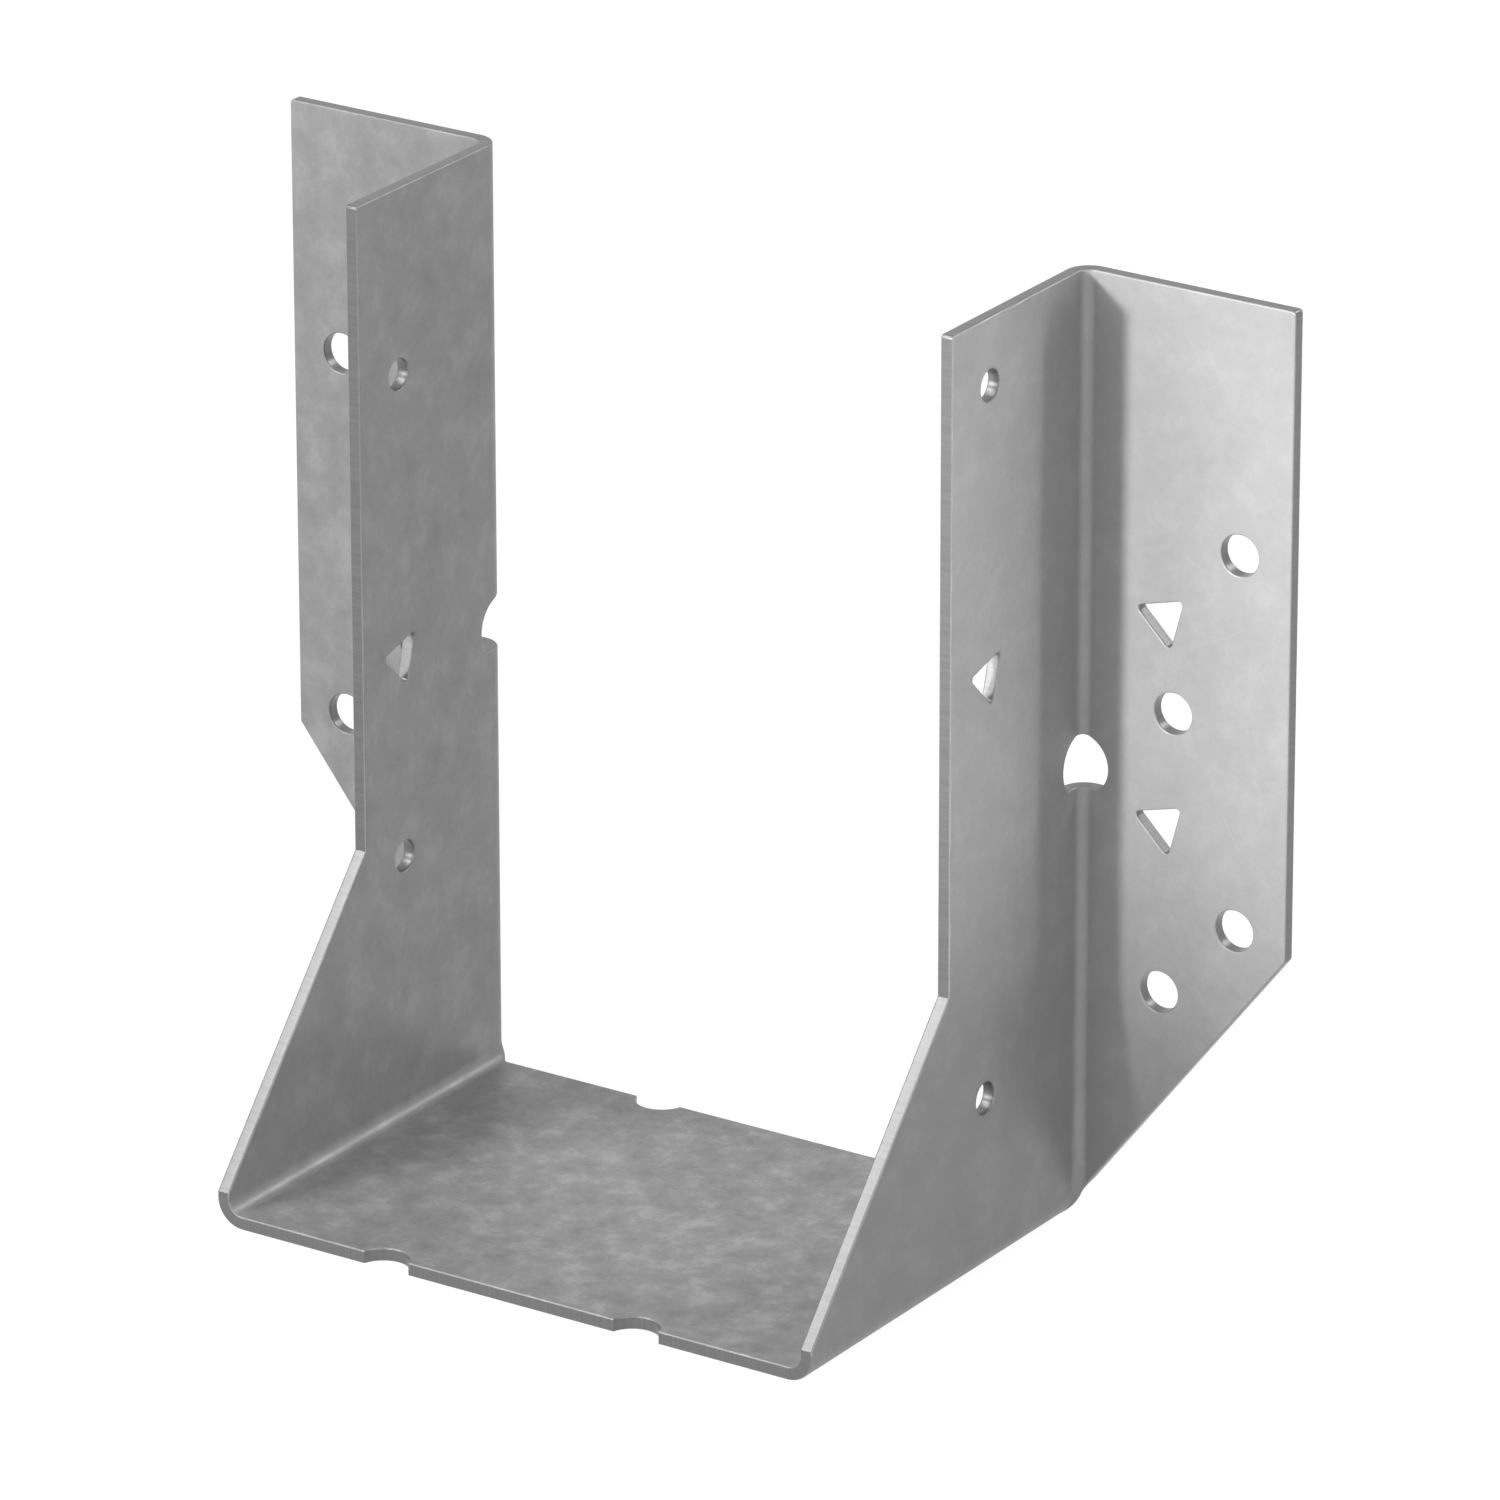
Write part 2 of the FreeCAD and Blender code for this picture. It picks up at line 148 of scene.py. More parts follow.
# %% [markdown]
# ## The outline of the blank
#
# The right half of the outline starts in the middle of the seat's front edge. It runs past
# a round notch, up the slanted and then the upright edge of the side plate, along the top of
# plate and flange, down the flange's outer edge, and back along its slanted lower edge. That
# last edge is one straight cut in the blank, which runs on over the fold into the seat's bend.
# So on the folded hanger it gets steeper where it crosses the fold. The left half is the mirror
# image, apart from the notch in the back edge.

# %% Draw the outline
NOTCH_R = 3.65          # radius of the notches in the seat's edges
NOTCH_OUT = 0.95        # how far their middles lie outside the edge
FRONT_NOTCH = 19.8      # distances from the middle plane
RIGHT_BACK_NOTCH = 20.9
LEFT_BACK_NOTCH = 18.7
PLATE_CORNER_R = 0.45
FLANGE_CORNER_R = 0.5


def notch(p, edge_q, side):
    """Part of a circle that bites into an edge, its middle just outside the edge."""
    lift = math.degrees(math.asin(NOTCH_OUT / NOTCH_R))
    centre = (p, edge_q - side * NOTCH_OUT)
    if side > 0:
        return arc(centre, NOTCH_R, 180 - lift, lift, 23)
    return arc(centre, NOTCH_R, -lift, -180 + lift, 23)


kink = (up(KINK_Z), PLATE_FRONT_Y)
plate_top = (up(HEIGHT), PLATE_FRONT_Y)
flange_top = (up(HEIGHT), out(FLANGE_EDGE))
flange_low = (up(FLANGE_LOW_Z), out(FLANGE_EDGE))
cut_end = (up(FLANGE_LOW_Z) - CUT_SLOPE * (out(FLANGE_EDGE) - FOLD_Y), FOLD_Y)

right_side = np.vstack([
    notch(FRONT_NOTCH, FRONT_Y, 1),
    [(SEAT_HALF, FRONT_Y), (PLATE_P, FRONT_Y), (up(SLANT_FOOT_Z), FRONT_Y)],
    [kink],
    round_corner(kink, plate_top, flange_top, PLATE_CORNER_R),
    [(up(HEIGHT), FOLD_Y), (up(HEIGHT), FOLD_Y + FOLD_ARC)],
    round_corner(plate_top, flange_top, flange_low, FLANGE_CORNER_R),
    round_corner(flange_top, flange_low, cut_end, FLANGE_CORNER_R),
    [cut_end],
])
left_side = right_side[::-1] * [-1, 1]
blank_outline = np.vstack([
    right_side,
    notch(RIGHT_BACK_NOTCH, FOLD_Y, -1),
    notch(-LEFT_BACK_NOTCH, FOLD_Y, -1),
    left_side,
])
print("points in the outline:", len(blank_outline))

# %% [markdown]
# ## The punched holes
#
# Each flange has four round nail holes and two triangular ones. The side plates have fewer,
# and at different heights left and right, so that two nails never meet in the joist. A
# D-shaped hole lies across each fold: it was punched before folding, so in the blank it is a
# plain circle with a flat, and the folding formula wraps it round the bend by itself.

# %% Places and sizes of the holes
HEADER_HOLE_R = 2.825
HEADER_HOLES = ((70.9, 98.95), (70.9, 46.6), (61.15, 75.0), (59.55, 35.4))  # x and z
HEADER_TRIANGLES = ((59.45, 87.8), (59.45, 58.9))
JOIST_HOLE_R = 2.2
JOIST_Q = 8.4           # all holes of a side plate lie on this line
JOIST_HOLES = {1: (124.45, 25.5), -1: (107.8, 39.1)}    # heights on the right and left plate
JOIST_TRIANGLE = {1: 84.35, -1: 67.6}
TRI_REACH = 3.8         # from a triangle's middle to its rounded tips
TRI_CORNER = 0.5        # radius of the tips, and how much further out they would be if sharp
TRI_ANGLES = (165, 45, -75)     # its tips, in degrees from the way out
D_R = 4.4
D_DROP = 0.67 * D_R     # how far its flat lies below its middle
D_Z = 64.9


# %% Draw the holes
def round_hole(p, q, radius):
    """A full turn of evenly spaced points, without the last one, which repeats the first."""
    return arc((p, q), radius, 0, 360, 49)[:-1]


def triangle_hole(p, q, side):
    """Three-sided punch mark: tips at three even angles round the middle, each rounded."""
    angle = np.radians(TRI_ANGLES)
    sharp = TRI_REACH + TRI_CORNER
    corners = np.c_[p + side * sharp * np.sin(angle), q + sharp * np.cos(angle)]
    return soften(corners, TRI_CORNER, steps=7)


def d_hole(side):
    """Circle cut off by a chord below its middle: the angles with cos above -drop / radius."""
    reach = math.degrees(math.acos(-D_DROP / D_R))
    return arc((up(D_Z), FOLD_Y + FOLD_ARC / 2), D_R, -reach, reach, 61) * [side, 1]


holes = []
for side in (1, -1):
    holes += [round_hole(side * up(z), out(x), HEADER_HOLE_R) for x, z in HEADER_HOLES]
    holes += [triangle_hole(side * up(z), out(x), side) for x, z in HEADER_TRIANGLES]
    holes.append(d_hole(side))
for side in (1, -1):
    holes += [round_hole(side * up(z), JOIST_Q, JOIST_HOLE_R) for z in JOIST_HOLES[side]]
    holes.append(triangle_hole(side * up(JOIST_TRIANGLE[side]), JOIST_Q, side))
print("holes in the blank:", len(holes))

# %% [markdown]
# ## Edges with a profile
#
# A sheared or punched edge isn't sharp. The tool pulls the sheet's face down a little before
# it cuts, and zinc rounds off the other corner, so both corners catch a thin line of light.
# One profile through the thickness is carried along the outline and round every hole: a
# quarter circle, a straight wall, and another quarter circle. A Bevel modifier after the
# folding would do nearly the same, but it would lose each point's place in the blank.

# %% Carry the edge profile along each contour
ROLL = 0.25             # radius of the two quarter circles


def edge_profile(steps=4):
    """Inset and depth through the sheet: sine and cosine of a quarter turn at either face."""
    angle = np.radians(np.linspace(0, 90, steps + 1))
    inset = ROLL * (1 - np.sin(angle))
    depth = ROLL * (1 - np.cos(angle))
    top = np.c_[inset, GAUGE - depth]
    bottom = np.c_[inset, depth][::-1]
    return np.vstack([top, bottom])


def inward(points):
    """Offsets to the left of the way round, mitred so that both sides move by one unit."""
    ahead = np.roll(points, -1, axis=0) - points
    ahead /= np.linalg.norm(ahead, axis=1)[:, None]
    behind = np.roll(ahead, 1, axis=0)
    left_ahead = np.c_[-ahead[:, 1], ahead[:, 0]]
    left_behind = np.c_[-behind[:, 1], behind[:, 0]]
    mitre = left_ahead + left_behind
    return mitre / (1 + (left_ahead * left_behind).sum(1))[:, None]


def area(points):
    """Signed area of a closed outline, positive when it runs anticlockwise."""
    nxt = np.roll(points, -1, axis=0)
    return 0.5 * (points[:, 0] * nxt[:, 1] - nxt[:, 0] * points[:, 1]).sum()


def carry(points, is_outer):
    """Grid of vertices: each contour point plus inset times its offset, at each depth.

    The outline runs anticlockwise and a hole clockwise, so that the metal lies on the left.
    """
    if (area(points) > 0) != is_outer:
        points = points[::-1]
    profile = edge_profile()
    offset = inward(points)
    flat = points[:, None, :] + offset[:, None, :] * profile[None, :, 0, None]
    depth = np.broadcast_to(profile[None, :, 1, None], flat.shape[:2] + (1,))
    return np.concatenate([flat, depth], axis=2)


rims = [carry(blank_outline, True)] + [carry(hole, False) for hole in holes]
print("vertices on the edges:", sum(rim.shape[0] * rim.shape[1] for rim in rims))

# %% [markdown]
# ## Fill the two faces
#
# The faces of the blank lie between the inner ends of those rims. A constrained Delaunay
# triangulation fills the area and leaves the holes open: it is given the rims as edges, and
# triangles whose middle lies in a hole or outside the outline are dropped.

# %% Triangulate the blank
ALL_TRIANGLES = 0       # the triangulation's kind of result: everything inside its hull
WELD = 1e-7


def inside(points, outline):
    """Even-odd rule: a ray to the right crosses the outline an odd number of times."""
    a, b = outline, np.roll(outline, -1, axis=0)
    y, x = points[:, 1][:, None], points[:, 0][:, None]
    crosses = (a[:, 1] > y) != (b[:, 1] > y)
    with np.errstate(divide="ignore", invalid="ignore"):
        at = a[:, 0] + (y - a[:, 1]) * (b[:, 0] - a[:, 0]) / (b[:, 1] - a[:, 1])
    return (crosses & (x < at)).sum(1) % 2 == 1


def closed_edges(start, count):
    """Pairs of neighbours round a ring whose points are numbered from start on."""
    here = np.arange(count)
    return start + np.c_[here, (here + 1) % count]


rings = [rim[:, 0, :2] for rim in rims]
ring_starts = np.cumsum([0] + [len(ring) for ring in rings])
ring_points = np.vstack(rings)
ring_edges = np.vstack([closed_edges(s, len(ring)) for s, ring in zip(ring_starts, rings)])
found_points, _, found_faces, found_ids, _, _ = delaunay_2d_cdt(
    [Vector(v) for v in ring_points.tolist()], ring_edges.tolist(), [], ALL_TRIANGLES, WELD, True)
tris = np.array(found_faces)
centres = np.array([v[:] for v in found_points])[tris].mean(axis=1)
keep = inside(centres, rings[0])
for ring in rings[1:]:
    keep &= ~inside(centres, ring)
tris = np.array([ids[0] for ids in found_ids])[tris[keep]]
first, second, third = (ring_points[tris[:, k]] for k in range(3))
u, v = second - first, third - first
clockwise = u[:, 0] * v[:, 1] - u[:, 1] * v[:, 0] < 0
tris[clockwise] = tris[clockwise][:, ::-1]
print("triangles on one face:", len(tris))

# %% [markdown]
# ## Join faces and edges
#
# Both faces use the same triangles, the lower one turned round so that it looks downwards.
# The rims bring the strip of quads between them, and the blank is closed.

# %% Join faces and edges into one closed blank
steps = rims[0].shape[1]
vertices = np.vstack([rim.reshape(-1, 3) for rim in rims])
top_index = np.arange(len(ring_points)) * steps
bottom_index = top_index + steps - 1
faces = top_index[tris].tolist() + bottom_index[tris][:, ::-1].tolist()
for start, ring in zip(ring_starts, rings):
    pair = closed_edges(start, len(ring)) * steps
    step = np.arange(steps - 1)
    here, there = pair[:, :1] + step, pair[:, 1:] + step
    faces += np.stack([here, here + 1, there + 1, there], axis=2).reshape(-1, 4).tolist()

mesh = bpy.data.meshes.new("hanger_sheet")
mesh.from_pydata(vertices.tolist(), [], faces)
mesh.validate()
print("blank: %d vertices, %d faces" % (len(mesh.vertices), len(mesh.polygons)))

# %% [markdown]
# ## Score the bend lines
#
# A flat face can't bend where it has no vertices. So the blank is sliced along close rows in
# the two seat bends and the two folds, and nowhere else.

# %% Slice the bend zones
BEND_ROWS = 13
bm = bmesh.new()
bm.from_mesh(mesh)


def slice_rows(axis, values):
    """Cut every face that crosses a plane, for each value of p (axis 0) or q (axis 1)."""
    normal = np.eye(3)[axis]
    for value in values:
        everything = bm.verts[:] + bm.edges[:] + bm.faces[:]
        bmesh.ops.bisect_plane(bm, geom=everything, dist=1e-5,
                               plane_co=normal * value, plane_no=normal)


seat_rows = np.linspace(SEAT_HALF, PLATE_P, BEND_ROWS)
slice_rows(0, np.r_[-seat_rows, seat_rows])
slice_rows(1, np.linspace(FOLD_Y, FOLD_Y + FOLD_ARC, BEND_ROWS))
bmesh.ops.recalc_face_normals(bm, faces=bm.faces[:])
bm.to_mesh(mesh)
bm.free()
print("after slicing: %d vertices, %d faces" % (len(mesh.vertices), len(mesh.polygons)))

# %% [markdown]
# ## Fold the blank
#
# Folding is a formula with two steps. First the flange turns about an upright line: within
# the fold a point keeps its distance to the bend's axis, and its angle grows with q. Then
# the plate, with its flange, turns up about the seat's bend in the same way, with p. The
# third coordinate, the depth in the sheet, becomes the distance to the axis. A Simple Deform
# modifier bends too, but not at a chosen neutral layer, so lengths would drift.

# %% The folding formula
def fold(flat):
    """Blank (p, q, depth) in millimetres to the folded place (x, y, z).

    Depth 0 is the face that ends up outside, underneath and in front on the flanges. In a
    bend of inner radius R the angle is the distance past the bend's start divided by the
    neutral radius.
    """
    side = np.where(flat[:, 0] < 0, -1.0, 1.0)
    p, q, w = np.abs(flat[:, 0]), flat[:, 1], flat[:, 2]
    angle = np.clip((q - FOLD_Y) / (FOLD_R + NEUTRAL), 0, math.pi / 2)
    past = np.maximum(q - FOLD_Y - FOLD_ARC, 0)
    reach = FOLD_R + w
    y = np.where(q < FOLD_Y, q, FOLD_Y + reach * np.sin(angle))
    w = np.where(q < FOLD_Y, w, reach * np.cos(angle) - FOLD_R - past)
    angle = np.clip((p - SEAT_HALF) / (SEAT_R + NEUTRAL), 0, math.pi / 2)
    rise = np.maximum(p - PLATE_P, 0)
    reach = SEAT_OUTER - w
    x = np.where(p < SEAT_HALF, p, SEAT_HALF + reach * np.sin(angle))
    z = np.where(p < SEAT_HALF, w, SEAT_OUTER - reach * np.cos(angle) + rise)
    return np.c_[side * x, y, z]


flat = np.empty(len(mesh.vertices) * 3)
mesh.vertices.foreach_get("co", flat)
flat = flat.reshape(-1, 3)
folded = fold(flat) / 1000.0
mesh.vertices.foreach_set("co", folded.ravel())
print("folded size in mm:", np.round((folded.max(0) - folded.min(0)) * 1000, 2))

# %% [markdown]
# ## What the finish needs to know
#
# The finish reads two things from the mesh. A UV map called `Blank` holds each point's place
# in the flat sheet, and an attribute called `cut` is 0 on the faces and 1 on the sheared
# walls. Both are kept now, because after folding they could only be guessed.

# %% Keep the blank's coordinates and the cut edges
UV_MM = 100.0           # millimetres of blank to one unit of the map
loops = np.empty(len(mesh.loops), dtype=np.int32)
mesh.loops.foreach_get("vertex_index", loops)
blank_map = mesh.uv_layers.new(name="Blank")
blank_map.data.foreach_set("uv", (flat[loops, :2] / UV_MM).ravel())

depth_in = np.clip(np.minimum(flat[:, 2], GAUGE - flat[:, 2]) / ROLL, 0, 1)
cut = mesh.attributes.new("cut", "FLOAT", "POINT")
cut.data.foreach_set("value", depth_in.astype(np.float32))
mesh.update()
print("vertices on a sheared wall:", int((depth_in > 0.5).sum()))

# %% [markdown]
# ## The hanger object
#
# The piece takes the place of the plain CAD node and rides on the hanger's only body. Weighted
# normals keep the large faces flat in the light, although they meet the small quarter circles
# of the edges smoothly.

# %% The hanger object
hanger = bpy.data.objects.new("hanger_sheet", mesh)
bpy.context.collection.objects.link(hanger)
mesh.shade_smooth()
mesh.set_sharp_from_angle(angle=math.radians(35))
weighted = hanger.modifiers.new("Weighted Normal", "WEIGHTED_NORMAL")
weighted.mode = "FACE_AREA"
weighted.keep_sharp = True
weighted.weight = 50

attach(hanger, "root")
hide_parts("joist_hanger")
print("pieces:", [hanger.name])

# %% [markdown]
# ## Galvanised finish
#
# Zinc freezes on the sheet in a fine mottle called spangle. It is metal, but a duller one
# than chrome: reflections are soft, and faint clouds and scratches show in them. The effects
# are node groups with named sockets, so that each one can be read, and used again, by itself.

# %% Helpers for node groups
def new_group(name, inputs, outputs):
    """Empty node group with float or vector sockets on both sides."""
    group = bpy.data.node_groups.new(name, "ShaderNodeTree")
    for label, kind, default in inputs:
        socket = group.interface.new_socket(label, in_out="INPUT", socket_type=kind)
        if default is not None:
            socket.default_value = default
    for label in outputs:
        group.interface.new_socket(label, in_out="OUTPUT", socket_type="NodeSocketFloat")
    return group


def fill_inputs(tree, node, values):
    """Link a socket to each value that is an output, and write each value that is a number."""
    for key, value in values.items():
        if hasattr(value, "is_output"):
            tree.links.new(value, node.inputs[key])
        else:
            node.inputs[key].default_value = value


def add_node(tree, kind, inputs=None, **settings):
    """Add a node, set its properties, and fill its inputs by name or number."""
    node = tree.nodes.new(kind)
    for key, value in settings.items():
        setattr(node, key, value)
    fill_inputs(tree, node, inputs or {})
    return node


# %% [markdown]
# Three things change over the sheet. Clouds and wisps come from how the zinc froze, and are
# noise read in the blank's own coordinates. Scratches from stacking and shipping are noise
# stretched far along one direction and cut off near its peaks. The sheared edges are bare
# steel with a thin smear of zinc: the `cut` attribute marks them, and because the blank's
# coordinates don't change through the thickness, fine noise turns into shear marks there.

# %% Clouds and wisps
def make_clouds():
    """Noise of three sizes: soft patches some 15 mm wide, wisps of 1 to 6 mm, and fine grain."""
    group = new_group("zinc_clouds",
                      [("Vector", "NodeSocketVector", None),
                       ("Patch Scale", "NodeSocketFloat", 6.0),
                       ("Wisp Scale", "NodeSocketFloat", 17.0)],
                      ["Patches", "Wisps", "Grain"])
    start = group.nodes.new("NodeGroupInput")
    end = group.nodes.new("NodeGroupOutput")
    place = start.outputs["Vector"]
    noises = {
        "Patches": {"Scale": start.outputs["Patch Scale"], "Detail": 2.0, "Roughness": 0.5},
        "Wisps": {"Scale": start.outputs["Wisp Scale"], "Detail": 4.0, "Roughness": 0.72},
        "Grain": {"Scale": 260.0, "Detail": 2.0, "Roughness": 0.6},
    }
    for label, values in noises.items():
        noise = add_node(group, "ShaderNodeTexNoise", {"Vector": place, **values})
        group.links.new(noise.outputs[0], end.inputs[label])
    return group


clouds_group = make_clouds()
print("sockets of", clouds_group.name, [item.name for item in clouds_group.interface.items_tree])

# %% Scratches
def make_scratches():
    """Noise stretched along one direction, cut off near its peaks and broken by wide noise."""
    group = new_group("scratches",
                      [("Vector", "NodeSocketVector", None),
                       ("Turn", "NodeSocketFloat", 0.5),
                       ("Level", "NodeSocketFloat", 0.64)],
                      ["Lines"])
    start = group.nodes.new("NodeGroupInput")
    end = group.nodes.new("NodeGroupOutput")
    turned = add_node(group, "ShaderNodeVectorRotate",
                      {"Vector": start.outputs["Vector"], "Angle": start.outputs["Turn"]},
                      rotation_type="Z_AXIS")
    drawn = add_node(group, "ShaderNodeMapping",
                     {"Vector": turned.outputs[0], "Scale": (9.0, 330.0, 1.0)})
    fine = add_node(group, "ShaderNodeTexNoise",
                    {"Vector": drawn.outputs[0], "Scale": 1.0, "Detail": 1.0, "Distortion": 0.25})
    wide = add_node(group, "ShaderNodeTexNoise",
                    {"Vector": start.outputs["Vector"], "Scale": 9.0, "Detail": 1.0})
    peaks = add_node(group, "ShaderNodeMapRange",
                     {"Value": fine.outputs[0], "From Min": start.outputs["Level"],
                      "From Max": 0.82})
    spots = add_node(group, "ShaderNodeMapRange",
                     {"Value": wide.outputs[0], "From Min": 0.48, "From Max": 0.62})
    lines = add_node(group, "ShaderNodeMath", {0: peaks.outputs[0], 1: spots.outputs[0]},
                     operation="MULTIPLY")
    group.links.new(lines.outputs[0], end.inputs["Lines"])
    return group


scratch_group = make_scratches()
print("finish groups:", [group.name for group in bpy.data.node_groups])

# %% [markdown]
# ## The zinc material
#
# The material starts with one Principled shader. Everything that changes over the sheet is
# worked out from the blank's map and the `cut` attribute, and small helpers keep those chains
# of nodes short to write.

# %% Start the zinc material
zinc = bpy.data.materials.new("galvanised_sheet")
zinc.use_nodes = True
zinc_tree = zinc.node_tree
zinc_tree.nodes.clear()
output = zinc_tree.nodes.new("ShaderNodeOutputMaterial")
surface = zinc_tree.nodes.new("ShaderNodeBsdfPrincipled")
zinc_tree.links.new(surface.outputs["BSDF"], output.inputs["Surface"])


def group_node(group, values):
    """Place a node group in the zinc material."""
    node = zinc_tree.nodes.new("ShaderNodeGroup")
    node.node_tree = group
    fill_inputs(zinc_tree, node, values)
    return node


def math_node(operation, a, b):
    return add_node(zinc_tree, "ShaderNodeMath", {0: a, 1: b}, operation=operation).outputs[0]


def spread(value, source, target):
    """Map one range of a value to another, and hold the ends."""
    return add_node(zinc_tree, "ShaderNodeMapRange",
                    {"Value": value, "From Min": source[0], "From Max": source[1],
                     "To Min": target[0], "To Max": target[1]}).outputs[0]


def blend(factor, low, high):
    """Mix two values: low where the factor is 0, high where it is 1."""
    return add_node(zinc_tree, "ShaderNodeMix", {"Factor": factor, 2: low, 3: high},
                    data_type="FLOAT").outputs[0]


# %% Masks on the sheet
NOISE = (0.3, 0.7)      # noise stays between these values nearly everywhere
blank = zinc_tree.nodes.new("ShaderNodeUVMap")
blank.uv_map = "Blank"
sheared = add_node(zinc_tree, "ShaderNodeAttribute", attribute_name="cut").outputs["Fac"]
clouds = group_node(clouds_group, {"Vector": blank.outputs[0]})
long_scratches = group_node(scratch_group, {"Vector": blank.outputs[0], "Turn": 0.55})
cross_scratches = group_node(scratch_group,
                             {"Vector": blank.outputs[0], "Turn": -1.1, "Level": 0.67})
lines = math_node("MAXIMUM", long_scratches.outputs[0], cross_scratches.outputs[0])
print("nodes for the masks:", len(zinc_tree.nodes))

# %% [markdown]
# The mottle isn't equally strong everywhere. It is strongest on the seat, weaker on the
# flanges, and weakest on the side plates, and it is weaker on the right half of the sheet
# than on the left. The seat's extra strength is painted sheen: it stands in for the spangle
# showing in the grazing reflection there. Four strengths and three soft borders in the blank say
# so.

# %% How strong the mottle is, with the painted sheen on the seat
# The seat's strength is real mottle plus painted sheen, the spangle in grazing reflection
SEAT_MOTTLE_AND_SHEEN = 1.05
PLATE_MOTTLE = 0.46
FLANGE_MOTTLE = 0.60
RIGHT_SHARE = 0.58      # of the left side's strength
SEAT_BORDER = (0.41, 0.46)    # in units of the map, as the next two
FLANGE_BORDER = (0.36, 0.44)
LEFT_TO_RIGHT = (-0.5, 0.5)

places = add_node(zinc_tree, "ShaderNodeSeparateXYZ", {"Vector": blank.outputs[0]})
off_centre = math_node("ABSOLUTE", places.outputs["X"], 0.0)
upright = math_node("MULTIPLY",
                    spread(places.outputs["Y"], FLANGE_BORDER, (PLATE_MOTTLE, FLANGE_MOTTLE)),
                    spread(places.outputs["X"], LEFT_TO_RIGHT, (1.0, RIGHT_SHARE)))
# Strength of the wisps over the blank; on the seat it carries the painted sheen
mottle_and_sheen = blend(spread(off_centre, SEAT_BORDER, (0.0, 1.0)), SEAT_MOTTLE_AND_SHEEN, upright)

# %% [markdown]
# The tone is one grey, made a little lighter and darker by the patches, the wisps and the
# scratches. The brightest wisps get some frost on top, which is what makes spangle sparkle.
# On the sheared walls the fine grain takes over.

# %% Tone
ZINC_TONE = 0.378
PATCH_TONES = (0.98, 1.02)
SCRATCH_TONE = 0.14
GRAIN = (0.35, 0.65)
SHEARED_TONES = (0.185, 0.215)

patch_tone = spread(clouds.outputs["Patches"], NOISE, PATCH_TONES)
frost = add_node(zinc_tree, "ShaderNodeMapRange",
                 {"Value": clouds.outputs["Wisps"], "From Min": 0.5, "From Max": 0.64,
                  "To Min": -0.03, "To Max": 0.09},
                 interpolation_type="SMOOTHSTEP").outputs[0]
wisp_tone = math_node("ADD", math_node("SUBTRACT", clouds.outputs["Wisps"], 0.5), frost)
# The wisps, stronger on the seat as painted sheen, lighten and darken the tone
tone = math_node("ADD", patch_tone, math_node("MULTIPLY", wisp_tone, mottle_and_sheen))
tone = math_node("ADD", tone, math_node("MULTIPLY", lines, SCRATCH_TONE))
both_tones = blend(sheared, math_node("MULTIPLY", tone, ZINC_TONE),
                   spread(clouds.outputs["Grain"], GRAIN, SHEARED_TONES))
colour = add_node(zinc_tree, "ShaderNodeCombineColor",
                  {"Red": both_tones, "Green": both_tones, "Blue": both_tones})
zinc_tree.links.new(colour.outputs[0], surface.inputs["Base Color"])

# %% [markdown]
# Weathered zinc carries a thin dull skin, so it is only partly a mirror. Smooth wisps and
# scratches are a little glossier than the rest, and the sheared walls are much more metallic.
# The relief is far too fine for geometry, so a Bump node gives it.

# %% Gloss and relief
FACE_ROUGH = (0.44, 0.36)
SCRATCH_ROUGH = 0.06
SHEARED_ROUGH = 0.3
FACE_METAL = (0.18, 0.22)
SHEARED_METAL = 0.6

face_rough = math_node("SUBTRACT", spread(clouds.outputs["Wisps"], NOISE, FACE_ROUGH),
                       math_node("MULTIPLY", lines, SCRATCH_ROUGH))
zinc_tree.links.new(blend(sheared, face_rough, SHEARED_ROUGH), surface.inputs["Roughness"])
face_metal = spread(clouds.outputs["Patches"], NOISE, FACE_METAL)
zinc_tree.links.new(blend(sheared, face_metal, SHEARED_METAL), surface.inputs["Metallic"])
surface.inputs["Specular IOR Level"].default_value = 0.2

relief = math_node("ADD", math_node("MULTIPLY", clouds.outputs["Wisps"], 0.6),
                   math_node("MULTIPLY", clouds.outputs["Grain"], 0.25))
relief = math_node("SUBTRACT", relief, math_node("MULTIPLY", lines, 0.3))
bump = add_node(zinc_tree, "ShaderNodeBump",
                {"Height": relief, "Strength": 0.12, "Distance": 0.0002})
zinc_tree.links.new(bump.outputs[0], surface.inputs["Normal"])
hanger.data.materials.append(zinc)
print("nodes in the zinc material:", len(zinc_tree.nodes))

# %% [markdown]
# ## Floor and surroundings
#
# The picture this follows has a plain white ground. The floor and the world are white only
# where the camera or a mirror reflection sees them. For all other light the floor is a mid
# grey and the world is black, so they add no light of their own to the hanger, and the floor
# keeps its shadow.

# %% What the eye sees directly
def seen_directly(tree):
    """1 for rays from the camera, in a reflection or through glass, and 0 for all other light."""
    path = tree.nodes.new("ShaderNodeLightPath")
    seen = path.outputs["Is Camera Ray"]
    for label in ("Is Glossy Ray", "Is Transmission Ray"):
        seen = add_node(tree, "ShaderNodeMath", {0: seen, 1: path.outputs[label]},
                        operation="MAXIMUM").outputs[0]
    return seen


# %% Floor
FLOOR_HALF = 6.0        # metres from the middle to an edge
WHITE = (1, 1, 1, 1)
SEEN_GREY = (0.2, 0.2, 0.2, 1)      # takes the shadow, under the glow
LIT_GREY = (0.45, 0.45, 0.45, 1)    # throws light back at the hanger

floor_mesh = bpy.data.meshes.new("floor")
floor_corners = [(-1, -1), (1, -1), (1, 1), (-1, 1)]
floor_mesh.from_pydata([(FLOOR_HALF * x, FLOOR_HALF * y, 0) for x, y in floor_corners], [],
                       [(0, 1, 2, 3)])
floor = bpy.data.objects.new("floor", floor_mesh)
bpy.context.collection.objects.link(floor)

